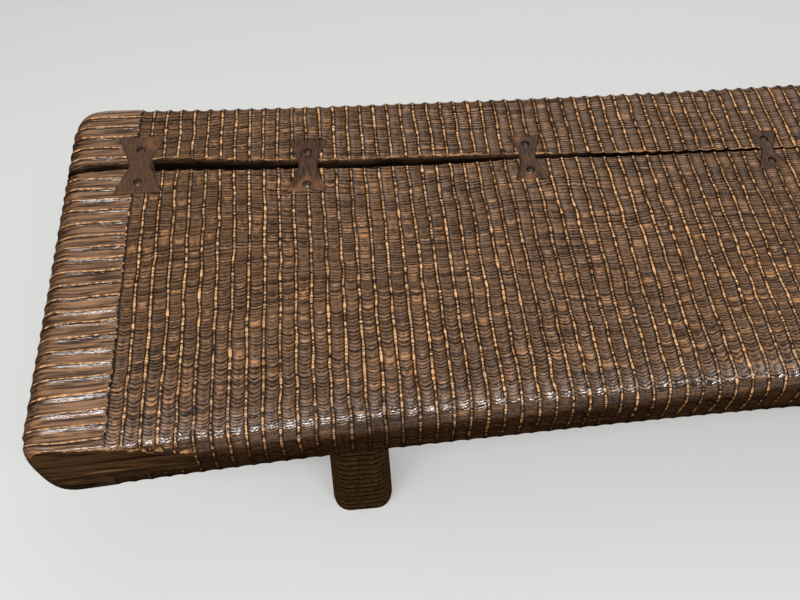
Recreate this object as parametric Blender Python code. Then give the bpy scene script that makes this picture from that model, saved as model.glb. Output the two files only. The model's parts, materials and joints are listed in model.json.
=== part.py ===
"""A low bench hewn from one teak slab, gouged all over with flutes, on four ringed legs.

The slab is narrow in the waist and flares to its ends. A long drying check in its top is held shut by
butterfly keys, each fixed with two draw pegs. The legs stand in blind mortises: a wedge in the kerf of
each tenon spreads it inside the slab.

Units are metres. +X runs along the bench, -Y is its front, +Z is up and the floor is z = 0.
"""

import math
from collections import namedtuple

import bmesh
import bpy
from mathutils import Matrix, Vector

# Slab
SLAB_LENGTH = 1.900
SLAB_END_WIDTH = 0.498        # across the flared ends
SLAB_WAIST_WIDTH = 0.439      # across the narrow middle
SLAB_THICKNESS = 0.080
SEAT_HEIGHT = 0.430           # floor to the ridges of the top
EDGE_RADIUS = 0.027           # round of the long edges and of the ends
CORNER_RADIUS = 0.052         # of the corners, seen from above
FLUTE_PITCH = 0.0173          # ridge to ridge
FLUTE_DEPTH = 0.0026
END_BAND = 0.088              # strip at each end whose flutes run lengthwise

# Plain facet hewn off the front left corner
FACET_LENGTH = 0.172          # along the slab, from its left end
FACET_END_INSET = 0.026       # from the side in to the facet's upper edge, at the end of the slab
FACET_FAR_INSET = 0.006       # the same at the facet's other end
FACET_DROP = 0.046            # from the top down to where the facet runs out on the side

# Drying check in the top, from the left end: distance along, distance behind the centre line, width
CheckPoint = namedtuple("CheckPoint", "along behind width")
CHECK = (
    CheckPoint(0.000, 0.134, 0.011),
    CheckPoint(0.070, 0.135, 0.012),
    CheckPoint(0.115, 0.134, 0.021),
    CheckPoint(0.290, 0.121, 0.016),
    CheckPoint(0.430, 0.112, 0.016),
    CheckPoint(0.545, 0.111, 0.010),
    CheckPoint(0.680, 0.104, 0.006),
    CheckPoint(0.850, 0.098, 0.002),
    CheckPoint(1.000, 0.094, 0.0006),
)
CHECK_DEPTH = 0.038           # down to the pith
CHECK_FOOT_SHARE = 0.3        # width at the bottom of the check against its width at the top

# Butterfly keys, left to right: place along the slab, waist behind the middle of the check, length across
# it, widths, lean in degrees, and how far the pegs in the front and back wings stand from the waist
Key = namedtuple("Key", "along behind length end_width waist_width lean front_peg back_peg")
KEYS = (
    Key(0.0935, 0.0025, 0.090, 0.057, 0.024, 0.0, 0.0285, 0.0230),
    Key(0.2955, -0.0010, 0.081, 0.047, 0.020, 2.5, 0.0300, 0.0215),
    Key(0.5645, 0.0000, 0.070, 0.039, 0.017, 1.0, 0.0212, 0.0212),
    Key(0.8620, 0.0000, 0.060, 0.036, 0.015, 3.0, 0.0184, 0.0172),
)
KEY_THICKNESS = 0.028
KEY_SINK = 0.0014             # top of a key below the ridges of the seat
PEG_DIAMETER = 0.010
PEG_LENGTH = 0.044
PEG_SINK = 0.0022             # top of a peg below the top of its key

# Legs
LEG_FOOT_WIDTH = 0.088
LEG_TOP_WIDTH = 0.068
LEG_CORNER_RADIUS = 0.025     # of the plan at the foot
LEG_FROM_END = 0.332          # leg centre to the end of the slab
LEG_FROM_EDGE = 0.057         # foot to the edge of the slab above it
LEG_FLUTE_PITCH = 0.0157
LEG_FLUTE_DEPTH = 0.0018
FOOT_ROUND = 0.012            # round of the edge that stands on the floor
TENON_WIDTH = 0.046           # at the shoulder
TENON_LENGTH = 0.036
TENON_SPREAD = 0.0025         # how far the wedge drives each half of the tenon outwards
WEDGE_LENGTH = 0.026
WEDGE_HEAD = 0.006            # thickness at the driven end
WEDGE_TIP = 0.0012

CLEARANCE = 0.0003            # between pieces that seat on each other
CUT_MARGIN = 0.004            # how far a cutter reaches past the surface it opens

# Fineness of the facets
FLUTE_FACETS = 3              # facets across each cross flute
LEG_FACETS = 2                # facets across each ring of a leg
UPPER_CORNER_STEPS = 3
LOWER_CORNER_STEPS = 2
LEG_CORNER_STEPS = 2
END_STEPS = 3
UNDERSIDE_CUTS = 3            # across the underside of the end bands
PEG_SIDES = 8
TINY = 1e-6
NEAR = 1e-4

# Places that follow from the sizes above
LEFT_END = -SLAB_LENGTH / 2
FIELD_LENGTH = SLAB_LENGTH - 2 * END_BAND
FIELD_FLUTES = round(FIELD_LENGTH / FLUTE_PITCH)
SLAB_UNDERSIDE = SEAT_HEIGHT - SLAB_THICKNESS
SLAB_MIDDLE = SEAT_HEIGHT - SLAB_THICKNESS / 2
FLAT_TOP = SLAB_END_WIDTH - 2 * EDGE_RADIUS
LEG_HEIGHT = SLAB_UNDERSIDE - CLEARANCE
LEG_RINGS = round(LEG_HEIGHT / LEG_FLUTE_PITCH)
KEY_TOP = SEAT_HEIGHT - KEY_SINK
KEY_BOTTOM = KEY_TOP - KEY_THICKNESS
PEG_TOP = KEY_TOP - PEG_SINK
PEG_BOTTOM = PEG_TOP - PEG_LENGTH
TENON_TOP = LEG_HEIGHT + TENON_LENGTH


def clear_scene():
    for item in list(bpy.data.objects):
        bpy.data.objects.remove(item)


def new_collection(name):
    group = bpy.data.collections.new(name)
    bpy.context.scene.collection.children.link(group)
    return group


def wood(name, colour, roughness):
    """One finish of oiled and lacquered timber."""
    material = bpy.data.materials.new(name)
    material.use_nodes = True
    shader = material.node_tree.nodes["Principled BSDF"]
    shader.inputs["Base Color"].default_value = (*colour, 1.0)
    shader.inputs["Roughness"].default_value = roughness
    shader.inputs["Metallic"].default_value = 0.0
    return material


def mesh_from(bm, name):
    """Close a bmesh: even normals, flat facets that a cut can follow, smooth shading between them."""
    bmesh.ops.recalc_face_normals(bm, faces=bm.faces)
    bmesh.ops.triangulate(bm, faces=bm.faces)
    mesh = bpy.data.meshes.new(name)
    bm.to_mesh(mesh)
    bm.free()
    mesh.shade_smooth()
    mesh.set_sharp_from_angle(angle=math.radians(25))
    return mesh


def add_object(name, mesh, group, place=(0.0, 0.0, 0.0), turn=0.0):
    item = bpy.data.objects.new(name, mesh)
    item.location = place
    item.rotation_euler.z = turn
    group.objects.link(item)
    return item


def add_part(name, mesh, place=(0.0, 0.0, 0.0), turn=0.0, finish=None):
    """A piece of the bench, carried by the bench's own origin on the floor."""
    item = add_object(name, mesh, parts, place, turn)
    item.parent = origin
    if not mesh.materials:
        mesh.materials.append(finish)
    return item


def add_cutter(name, mesh, group, place=(0.0, 0.0, 0.0), turn=0.0):
    item = add_object(name, mesh, group, place, turn)
    item.hide_render = True
    item.display_type = 'WIRE'
    return item


def cut(piece, cutters):
    """Take every cutter of a collection out of a piece."""
    modifier = piece.modifiers.new("cuts", 'BOOLEAN')
    modifier.operation = 'DIFFERENCE'
    modifier.solver = 'EXACT'
    modifier.operand_type = 'COLLECTION'
    modifier.collection = cutters


def plate_mesh(name, outline, thickness):
    """A flat outline in plan with its underside at z = 0, made as a filled curve and welded closed."""
    curve = bpy.data.curves.new(name, 'CURVE')
    curve.dimensions = '2D'
    curve.fill_mode = 'BOTH'
    curve.extrude = thickness / 2
    spline = curve.splines.new('POLY')
    spline.points.add(len(outline) - 1)
    for point, (x, y) in zip(spline.points, outline):
        point.co = (x, y, 0.0, 1.0)
    spline.use_cyclic_u = True
    holder = bpy.data.objects.new(name, curve)
    bpy.context.scene.collection.objects.link(holder)
    graph = bpy.context.evaluated_depsgraph_get()
    filled = bpy.data.meshes.new_from_object(holder.evaluated_get(graph))
    bm = bmesh.new()
    bm.from_mesh(filled)
    bmesh.ops.remove_doubles(bm, verts=bm.verts, dist=TINY)
    bmesh.ops.translate(bm, verts=bm.verts, vec=(0.0, 0.0, thickness / 2))
    bpy.data.objects.remove(holder)
    bpy.data.curves.remove(curve)
    bpy.data.meshes.remove(filled)
    return mesh_from(bm, name)


def rounded_rectangle(width, height, radius, upper_steps, lower_steps):
    """Outline of a rectangle with round corners about its own middle, counter-clockwise."""
    points = []
    for corner in range(4):
        steps = upper_steps if corner < 2 else lower_steps
        centre_u = (width / 2 - radius) * (1 if corner in (0, 3) else -1)
        centre_v = (height / 2 - radius) * (1 if corner < 2 else -1)
        for step in range(steps + 1):
            angle = math.pi / 2 * (corner + step / steps)
            points.append((centre_u + radius * math.cos(angle), centre_v + radius * math.sin(angle)))
    return points


def outward(u, v, width, height, radius):
    """Outward direction of that rectangle at one of its outline points."""
    core_u = width / 2 - radius
    core_v = height / 2 - radius
    return (
        (u - max(-core_u, min(core_u, u))) / radius,
        (v - max(-core_v, min(core_v, v))) / radius,
    )


def gouge(place):
    """Share of a flute's full depth at a place between two ridges, which lie at whole numbers."""
    across = place % 1.0
    return 4.0 * across * (1.0 - across)


def closed_loop(bm, points):
    """A ring of edges, ready to be swept."""
    verts = [bm.verts.new(point) for point in points]
    edges = [bm.edges.new((verts[i - 1], verts[i])) for i in range(len(verts))]
    return verts + edges


def rim(bm, axis, place):
    """The open edges of a sweep that lie at one place along an axis."""
    return [
        edge for edge in bm.edges
        if edge.is_boundary and all(abs(vert.co[axis] - place) < NEAR for vert in edge.verts)
    ]


def extrude_rim(bm, edges, shift, scale, centre):
    """Carry an open rim on by a shift, scaled about a centre, and return the new rim."""
    made = bmesh.ops.extrude_edge_only(bm, edges=edges)["geom"]
    edges = [item for item in made if isinstance(item, bmesh.types.BMEdge) and item.is_boundary]
    verts = list({vert for edge in edges for vert in edge.verts})
    bmesh.ops.scale(bm, verts=verts, vec=scale, space=Matrix.Translation(-Vector(centre)))
    bmesh.ops.translate(bm, verts=verts, vec=shift)
    return edges


def slab_width(x):
    """Width of the slab at x: a shallow parabola, narrowest at mid-length."""
    reach = min(abs(x) / (SLAB_LENGTH / 2), 1.0)
    return SLAB_WAIST_WIDTH + (SLAB_END_WIDTH - SLAB_WAIST_WIDTH) * reach ** 2


def thin_underside(bm, start, step):
    """The flutes run out below the sides: there only the points on the ridges stay."""
    rows = {}
    for vert in bm.verts:
        if vert.co.z < SLAB_UNDERSIDE + EDGE_RADIUS - TINY:
            ring = round((vert.co.x - start) / step)
            rows[ring, round(vert.co.y, 5), round(vert.co.z, 5)] = vert
    welds = {}
    for (ring, y, z), vert in rows.items():
        ridge = FLUTE_FACETS * round(ring / FLUTE_FACETS)
        if ridge != ring:
            welds[vert] = rows[ridge, y, z]
    bmesh.ops.weld_verts(bm, targetmap=welds)


def fluted_field(bm):
    """The slab between its end bands: a rounded section swept along X under cross flutes."""
    outline = rounded_rectangle(
        SLAB_END_WIDTH, SLAB_THICKNESS, EDGE_RADIUS, UPPER_CORNER_STEPS, LOWER_CORNER_STEPS)
    start = -FIELD_LENGTH / 2
    ring = closed_loop(bm, [(start, y, SLAB_MIDDLE + z) for y, z in outline])
    steps = FIELD_FLUTES * FLUTE_FACETS
    bmesh.ops.spin(bm, geom=ring, axis=(1, 0, 0), dvec=(FIELD_LENGTH / steps, 0, 0), angle=0.0, steps=steps)
    thin_underside(bm, start, FIELD_LENGTH / steps)
    for vert in bm.verts:
        side, up = outward(
            vert.co.y, vert.co.z - SLAB_MIDDLE, SLAB_END_WIDTH, SLAB_THICKNESS, EDGE_RADIUS)
        depth = FLUTE_DEPTH * gouge((vert.co.x - start) / FIELD_LENGTH * FIELD_FLUTES)
        vert.co.y -= depth * side
        vert.co.z -= depth * up


def end_band(bm, side):
    """One end of the slab: lengthwise flutes on the top that run out over the rounded end."""
    start = side * FIELD_LENGTH / 2
    flutes = round(FLAT_TOP / FLUTE_PITCH)
    by_height = sorted(rim(bm, 0, start), key=lambda edge: sum(vert.co.z for vert in edge.verts))
    bmesh.ops.subdivide_edges(bm, edges=[by_height[0]], cuts=UNDERSIDE_CUTS)
    bmesh.ops.subdivide_edges(bm, edges=[by_height[-1]], cuts=2 * flutes - 1)

    # The rim is doubled in place and its troughs are sunk, which leaves the stopped ends of the flutes
    made = bmesh.ops.extrude_edge_only(bm, edges=rim(bm, 0, start))["geom"]
    for vert in (item for item in made if isinstance(item, bmesh.types.BMVert)):
        if vert.co.z > SEAT_HEIGHT - TINY:
            vert.co.z -= FLUTE_DEPTH * gouge((vert.co.y / FLAT_TOP + 0.5) * flutes)
    bmesh.ops.remove_doubles(bm, verts=bm.verts, dist=TINY)

    edges = rim(bm, 0, start)
    straight = side * (END_BAND - EDGE_RADIUS)
    centre = (0.0, 0.0, SLAB_MIDDLE)
    edges = extrude_rim(bm, edges, (straight, 0, 0), (1, 1, 1), centre)
    inset = 0.0
    reach = 0.0
    for step in range(1, END_STEPS + 1):
        angle = math.pi / 2 * step / END_STEPS
        next_inset = EDGE_RADIUS * (1 - math.cos(angle))
        next_reach = EDGE_RADIUS * math.sin(angle)
        thinner = (SLAB_THICKNESS / 2 - next_inset) / (SLAB_THICKNESS / 2 - inset)
        shift = (side * (next_reach - reach), 0, 0)
        edges = extrude_rim(bm, edges, shift, (1, 1, thinner), centre)
        inset = next_inset
        reach = next_reach
    bmesh.ops.contextual_create(bm, geom=edges)


def round_corner(x, y):
    """Where a point of the square-ended blank lies once the corners of the plan are round."""
    end = max(0.0, (abs(x) - SLAB_LENGTH / 2) / CORNER_RADIUS + 1)
    side = max(0.0, (abs(y) - SLAB_END_WIDTH / 2) / CORNER_RADIUS + 1)
    along = abs(x) - CORNER_RADIUS * end * (1 - math.sqrt(1 - side ** 2 / 2))
    across = abs(y) - CORNER_RADIUS * side * (1 - math.sqrt(1 - end ** 2 / 2))
    return math.copysign(along, x), math.copysign(across, y)


def slab_mesh():
    bm = bmesh.new()
    fluted_field(bm)
    end_band(bm, -1)
    end_band(bm, 1)
    for vert in bm.verts:
        x, y = round_corner(vert.co.x, vert.co.y)
        vert.co.x = x
        vert.co.y = y * slab_width(x) / SLAB_END_WIDTH
    return mesh_from(bm, "slab")


def facet_mesh():
    """The cutter for the facet: a wedge whose inner face leans from the top out to the side."""
    bm = bmesh.new()
    bmesh.ops.create_cube(bm, size=1.0)
    for vert in bm.verts:
        at_end = vert.co.x < 0
        x = LEFT_END - CUT_MARGIN if at_end else LEFT_END + FACET_LENGTH
        inset = FACET_END_INSET if at_end else FACET_FAR_INSET
        drop = -CUT_MARGIN if vert.co.z > 0 else FACET_DROP + CUT_MARGIN
        side = -slab_width(x) / 2
        y = side - EDGE_RADIUS if vert.co.y < 0 else side + inset * (1 - drop / FACET_DROP)
        vert.co = (x, y, SEAT_HEIGHT - drop)
    return mesh_from(bm, "facet")


def check_middle(along):
    """Distance of the check behind the centre line of the slab."""
    for near, far in zip(CHECK, CHECK[1:]):
        if along <= far.along:
            share = (along - near.along) / (far.along - near.along)
            return near.behind + share * (far.behind - near.behind)
    return CHECK[-1].behind


def check_mesh():
    """The check as a cutter: a long tapering slot, narrower at its bottom, open at the left end."""
    start = CHECK[0]._replace(along=-CUT_MARGIN)
    points = (start,) + CHECK[1:]
    back = [(point.along, point.behind + point.width / 2) for point in points]
    front = [(point.along, point.behind - point.width / 2) for point in points]
    mesh = plate_mesh("check", front + back[::-1], CHECK_DEPTH + CUT_MARGIN)
    for vert in mesh.vertices:
        if vert.co.z < TINY:
            middle = check_middle(vert.co.x)
            vert.co.y = middle + (vert.co.y - middle) * CHECK_FOOT_SHARE
    return mesh


def key_outline(key, grow):
    """A bow tie whose straight sides run in to the waist, with an allowance added all round."""
    end = key.end_width / 2 + grow
    waist = key.waist_width / 2 + grow
    reach = key.length / 2 + grow
    side = [(end, -reach), (waist, 0.0), (end, reach)]
    return side + [(-x, y) for x, y in reversed(side)]


def peg_mesh(name, diameter, length):
    """A round peg with its foot at z = 0."""
    bm = bmesh.new()
    bmesh.ops.create_cone(
        bm, cap_ends=True, segments=PEG_SIDES, radius1=diameter / 2, radius2=diameter / 2, depth=length)
    bmesh.ops.translate(bm, verts=bm.verts, vec=(0.0, 0.0, length / 2))
    return mesh_from(bm, name)


def make_keys(finish, peg_finish, slab_cutters):
    """Each butterfly key in its pocket, with a peg through either wing into the slab."""
    peg = peg_mesh("peg", PEG_DIAMETER, PEG_LENGTH)
    bore_depth = PEG_LENGTH + PEG_SINK + KEY_SINK + CLEARANCE + CUT_MARGIN
    bore = peg_mesh("peg_bore", PEG_DIAMETER + 2 * CLEARANCE, bore_depth)
    for number, key in enumerate(KEYS, 1):
        name = f"butterfly_key_{number}"
        centre = Vector((LEFT_END + key.along, check_middle(key.along) + key.behind, 0.0))
        lean = -math.radians(key.lean)
        bores = bpy.data.collections.new(f"{name}_bores")
        cutters.children.link(bores)

        body = plate_mesh(name, key_outline(key, 0.0), KEY_THICKNESS)
        item = add_part(name, body, centre + Vector((0, 0, KEY_BOTTOM)), lean, finish)
        pocket_depth = KEY_THICKNESS + KEY_SINK + CLEARANCE + CUT_MARGIN
        pocket = plate_mesh(f"pocket_{number}", key_outline(key, CLEARANCE), pocket_depth)
        floor = Vector((0, 0, KEY_BOTTOM - CLEARANCE))
        add_cutter(f"pocket_{number}", pocket, slab_cutters, centre + floor, lean)

        for wing, reach in (("front", -key.front_peg), ("back", key.back_peg)):
            offset = Matrix.Rotation(lean, 3, 'Z') @ Vector((0, reach, 0))
            foot = centre + offset + Vector((0, 0, PEG_BOTTOM))
            add_part(f"peg_{number}_{wing}", peg, foot, 0.0, peg_finish)
            bore_foot = foot - Vector((0, 0, CLEARANCE))
            add_cutter(f"bore_{number}_{wing}", bore, slab_cutters, bore_foot)
            add_cutter(f"key_bore_{number}_{wing}", bore, bores, bore_foot)
        cut(item, bores)


def leg_width(z):
    return LEG_FOOT_WIDTH + (LEG_TOP_WIDTH - LEG_FOOT_WIDTH) * z / LEG_HEIGHT


def leg_shaft(bm):
    """A tapering rounded square under horizontal flutes, with a soft edge at the floor."""
    outline = rounded_rectangle(
        LEG_FOOT_WIDTH, LEG_FOOT_WIDTH, LEG_CORNER_RADIUS, LEG_CORNER_STEPS, LEG_CORNER_STEPS)
    ring = closed_loop(bm, [(x, y, 0.0) for x, y in outline])
    steps = LEG_RINGS * LEG_FACETS
    bmesh.ops.spin(bm, geom=ring, axis=(0, 0, 1), dvec=(0, 0, LEG_HEIGHT / steps), angle=0.0, steps=steps)
    for vert in bm.verts:
        x, y, z = vert.co
        side_x, side_y = outward(x, y, LEG_FOOT_WIDTH, LEG_FOOT_WIDTH, LEG_CORNER_RADIUS)
        taper = leg_width(z) / LEG_FOOT_WIDTH
        inset = LEG_FLUTE_DEPTH * gouge(z / LEG_HEIGHT * LEG_RINGS)
        if z < FOOT_ROUND:
            inset += FOOT_ROUND - math.sqrt(FOOT_ROUND ** 2 - (FOOT_ROUND - z) ** 2)
        vert.co.x = x * taper - inset * side_x
        vert.co.y = y * taper - inset * side_y


def tenon(bm, edges, grow):
    """Carry a rim of the leg's section up as a tenon whose head is spread along the slab."""
    length = TENON_LENGTH + grow
    width = TENON_WIDTH + 2 * grow
    spread = (width + 2 * TENON_SPREAD) / width
    edges = extrude_rim(bm, edges, (0, 0, length), (spread, 1, 1), (0.0, 0.0, 0.0))
    bmesh.ops.contextual_create(bm, geom=edges)


def wedge_mesh(name, grow):
    """A tapered wedge across the tenon, point down, with its foot at z = 0."""
    bm = bmesh.new()
    bmesh.ops.create_cube(bm, size=1.0)
    length = WEDGE_LENGTH + grow
    for vert in bm.verts:
        thickness = WEDGE_HEAD if vert.co.z > 0 else WEDGE_TIP
        vert.co.x *= thickness + 2 * grow
        vert.co.y *= TENON_WIDTH - 2 * CLEARANCE + 4 * grow
        vert.co.z = (vert.co.z + 0.5) * length
    return mesh_from(bm, name)


def leg_mesh():
    bm = bmesh.new()
    leg_shaft(bm)
    bmesh.ops.contextual_create(bm, geom=rim(bm, 2, 0.0))
    shoulder = TENON_WIDTH / LEG_TOP_WIDTH
    edges = extrude_rim(bm, rim(bm, 2, LEG_HEIGHT), (0, 0, 0), (shoulder, shoulder, 1), (0, 0, 0))
    tenon(bm, edges, 0.0)
    return mesh_from(bm, "leg")


def mortise_mesh():
    """The cutter for a leg's mortise: the tenon with a clearance, opened downwards."""
    bm = bmesh.new()
    size = TENON_WIDTH + 2 * CLEARANCE
    radius = LEG_CORNER_RADIUS * TENON_WIDTH / LEG_FOOT_WIDTH
    outline = rounded_rectangle(size, size, radius, LEG_CORNER_STEPS, LEG_CORNER_STEPS)
    closed_loop(bm, [(x, y, 0.0) for x, y in outline])
    edges = list(bm.edges)
    bmesh.ops.contextual_create(bm, geom=edges)
    tenon(bm, edges, CLEARANCE)
    return mesh_from(bm, "mortise")


def make_legs(finish, wedge_finish, slab_cutters):
    """Four legs, each with its tenon in the slab and a wedge in the kerf of the tenon."""
    leg = leg_mesh()
    wedge = wedge_mesh("tenon_wedge", 0.0)
    kerf = wedge_mesh("kerf", CLEARANCE)
    mortise = mortise_mesh()
    along = SLAB_LENGTH / 2 - LEG_FROM_END
    behind = slab_width(along) / 2 - LEG_FROM_EDGE - LEG_FOOT_WIDTH / 2
    wedge_foot = TENON_TOP - WEDGE_LENGTH
    for end, x in (("left", -along), ("right", along)):
        for side, y in (("front", -behind), ("back", behind)):
            name = f"{side}_{end}"
            item = add_part(f"leg_{name}", leg, (x, y, 0.0), 0.0, finish)
            add_part(f"tenon_wedge_{name}", wedge, (x, y, wedge_foot), 0.0, wedge_finish)
            add_cutter(f"mortise_{name}", mortise, slab_cutters, (x, y, LEG_HEIGHT))
            kerfs = bpy.data.collections.new(f"kerf_{name}")
            cutters.children.link(kerfs)
            add_cutter(f"kerf_{name}", kerf, kerfs, (x, y, wedge_foot - CLEARANCE))
            cut(item, kerfs)


clear_scene()
parts = new_collection("carved_teak_bench")
cutters = new_collection("cutters")
origin = bpy.data.objects.new("bench_origin", None)
parts.objects.link(origin)

slab_teak = wood("slab_teak", (0.115, 0.062, 0.032), 0.32)
key_wood = wood("key_wood", (0.060, 0.034, 0.020), 0.38)
peg_wood = wood("peg_wood", (0.045, 0.027, 0.017), 0.45)
leg_teak = wood("leg_teak", (0.075, 0.047, 0.026), 0.45)
wedge_wood = wood("wedge_wood", (0.240, 0.140, 0.070), 0.60)

slab_cuts = bpy.data.collections.new("slab_cuts")
cutters.children.link(slab_cuts)
slab = add_part("slab", slab_mesh(), finish=slab_teak)
add_cutter("check", check_mesh(), slab_cuts, (LEFT_END, 0.0, SEAT_HEIGHT - CHECK_DEPTH))
add_cutter("facet", facet_mesh(), slab_cuts)
make_keys(key_wood, peg_wood, slab_cuts)
make_legs(leg_teak, wedge_wood, slab_cuts)
cut(slab, slab_cuts)
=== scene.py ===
"""Dress the carved teak bench: its gouged slab, butterfly keys, pegs and ringed legs, on a pale floor."""

import json
import math

import bmesh
import bpy
import numpy as np
from mathutils import Matrix, Vector

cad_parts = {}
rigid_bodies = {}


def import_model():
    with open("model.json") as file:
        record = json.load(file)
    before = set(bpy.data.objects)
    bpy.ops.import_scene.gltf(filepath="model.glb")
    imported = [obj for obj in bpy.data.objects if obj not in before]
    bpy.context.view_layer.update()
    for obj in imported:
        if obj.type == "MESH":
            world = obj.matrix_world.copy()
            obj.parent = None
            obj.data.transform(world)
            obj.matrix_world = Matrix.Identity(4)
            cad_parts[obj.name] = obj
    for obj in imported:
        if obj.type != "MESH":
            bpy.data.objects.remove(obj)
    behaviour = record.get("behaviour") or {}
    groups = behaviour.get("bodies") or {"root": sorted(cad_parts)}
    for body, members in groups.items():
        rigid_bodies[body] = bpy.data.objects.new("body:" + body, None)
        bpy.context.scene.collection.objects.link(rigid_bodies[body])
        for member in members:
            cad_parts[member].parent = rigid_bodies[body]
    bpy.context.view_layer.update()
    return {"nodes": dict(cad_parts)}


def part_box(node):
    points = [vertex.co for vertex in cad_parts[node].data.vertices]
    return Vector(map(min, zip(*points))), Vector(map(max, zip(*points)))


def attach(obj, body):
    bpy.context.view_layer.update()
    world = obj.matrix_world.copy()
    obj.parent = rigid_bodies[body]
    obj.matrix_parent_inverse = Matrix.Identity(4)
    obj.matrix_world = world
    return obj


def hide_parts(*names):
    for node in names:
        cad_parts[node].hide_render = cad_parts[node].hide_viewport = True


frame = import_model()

# Slab, from the frame
slab_low, slab_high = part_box("slab")
SLAB_LENGTH = slab_high.x - slab_low.x
SLAB_TOP = slab_high.z
SLAB_UNDER = slab_low.z
SLAB_MIDDLE = (SLAB_TOP + SLAB_UNDER) / 2
SLAB_THICKNESS = SLAB_TOP - SLAB_UNDER
LEFT_END = slab_low.x

# Slab, as it was hewn
END_WIDTH = 0.498
WAIST_WIDTH = 0.439
EDGE_RADIUS = 0.027
CORNER_RADIUS = 0.052         # of the slab's corners seen from above
END_BAND = 0.088
FLUTE_PITCH = 0.0173
FLUTE_DEPTH = 0.0026
FLUTE_ROUNDNESS = 0.8         # below 1 the flutes get steeper towards their ridges
BAND_DEPTH = 0.0025
BAND_STEEP = 0.30             # share of an end band's flute that rises steeply to its back ridge
BAND_LONG = 0.62              # share of it that slopes gently down from its front ridge
NOSE_DEPTH = 0.5              # share of their depth that is left on the rounded ends
FLUTES_FADE = math.radians(85)   # turn of the slab's edge from which its flutes get shallower
FLUTES_END = math.radians(135)   # and the turn at which they end, under the slab
BAND_DROP = 0.0004            # ridges of the end bands below the first cross ridge
RIDGE_WEAR = 0.00025          # height that use has taken off the ridges
BAND_STOP = 0.006             # length in which a flute of an end band is cut to its depth
BAND_JOIN = 0.03              # length in which an end band loses the stray of the first ridge
TOP_UNEVEN = 0.0007           # half the most by which the top lies low
SIDE_UNEVEN = 0.0024          # how far the long sides stray from their sweep
FLAT_TOP = END_WIDTH - 2 * EDGE_RADIUS
FIELD_LENGTH = SLAB_LENGTH - 2 * END_BAND
FIELD_FLUTES = round(FIELD_LENGTH / FLUTE_PITCH)
FIELD_PITCH = FIELD_LENGTH / FIELD_FLUTES
BAND_FLUTES = round(FLAT_TOP / FLUTE_PITCH)
BAND_PITCH = FLAT_TOP / BAND_FLUTES

# Places across one cross flute, from ridge to ridge, where the gouged surface has a ring
FLUTE_RINGS = np.array((0.0, 0.07, 0.2, 0.4, 0.6, 0.8, 0.93))
ROWS_A_BAND_FLUTE = 3         # rows of the field for each flute of an end band
BAND_SPLIT = 3                # each of them is split into as many on the end band
BAND_RINGS = (0.0008, 0.002, 0.004, 0.008, 0.014, 0.021, 0.029, 0.037, 0.045, 0.053)
BAND_STRAIGHT = END_BAND - EDGE_RADIUS
END_RINGS = 8

# Facet hewn off the front left corner
FACET_LENGTH = 0.172
FACET_END_INSET = 0.026
FACET_FAR_INSET = 0.006
FACET_DROP = 0.046
FACET_CUTS = (70, 0, 18)      # cuts in its cutter along, across and down
FACET_NEAR = 0.0035           # faces within this of the facet belong to it
FACET_EDGE_NEAR = 0.0025

# Drying check: distance from the left end, distance behind the centre line, width
CHECK_PATH = (
    (0.000, 0.1340, 0.010),
    (0.047, 0.1350, 0.013),
    (0.079, 0.1350, 0.010),
    (0.114, 0.1345, 0.021),
    (0.226, 0.1260, 0.017),
    (0.313, 0.1190, 0.014),
    (0.371, 0.1150, 0.016),
    (0.493, 0.1120, 0.014),
    (0.548, 0.1120, 0.0095),
    (0.677, 0.1040, 0.0070),
    (0.776, 0.1010, 0.0052),
    (0.848, 0.0985, 0.0042),
    (1.000, 0.0940, 0.0012),
)
CHECK_DEPTH = 0.038
CHECK_CUTS = (330, 1, 9)      # cuts in its cutter along, across and down
CHECK_NEAR = 0.006            # points within this of the check may lie on its walls
NARROW_CHECK = 0.0095         # width below which the check's walls are painted black as shade
NARROW_EASE = 0.002
LIP_REACH = 0.015             # depth down to which the broken edges are rubbed and, on the check's back lip, painted lighter as a highlight

# Butterfly keys, left to right: length across the check, end width, waist width and lean in degrees
KEY_SHAPES = (
    (0.090, 0.057, 0.024, 0.0),
    (0.081, 0.047, 0.020, 2.5),
    (0.070, 0.039, 0.017, 1.0),
    (0.060, 0.036, 0.015, 3.0),
)
WAIST_ROUND = 0.003
KEY_EASE = 0.0009             # drop of a key's eased edge, and how far in it starts
KEY_EASE_REACH = 0.0022
KEY_PLANED = 0.0004

# Growth rings, which the gouge lays open as bows in the hollow of each flute
RING_PITCH = 0.0042
FRONT_BOW = 1.1               # sag of a bow at the front edge and behind the middle, in rings
BACK_BOW = -0.2
SIDE_BOW = -1.6               # bow on the front side as a share of the one above it
ROLL_START = -FLAT_TOP / 2 / FLUTE_PITCH   # where the front edge starts to roll, in flutes
BOWS_TURNED = ROLL_START - 2.2
BOWS_TURN = ROLL_START - 0.8
BOWS_BACK = 0.08 / FLUTE_PITCH
RING_SWAY = 11.0              # slow and quick stray of the rings
RING_SHIVER = 0.9
SHAKE_RINGS = 10              # rings from one line of shakes to the next

POCKET_GAP = 0.0005
BORE_GAP = 0.0004
CUT_MARGIN = 0.004

# Legs
LEG_CORNER_RADIUS = 0.025
LEG_TOP_WIDTH = 0.068
LEG_FLUTE_PITCH = 0.0157
LEG_FLUTE_DEPTH = 0.0017
LEG_RIDGE_WEAR = 0.0002
LEG_TRUE_ENDS = 0.02          # length in which its rings straighten towards both ends
FOOT_ROUND = 0.005
PEG_CROWN = 0.0014            # rise of a peg's whittled head above the end of its shank
TENON_WIDTH = 0.046
TENON_SPREAD = 0.0025
KERF_FOOT = 0.0006            # half the width of the tenon's kerf at its foot
LEG_CORNERS = ("front_left", "back_left", "front_right", "back_right")

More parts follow.
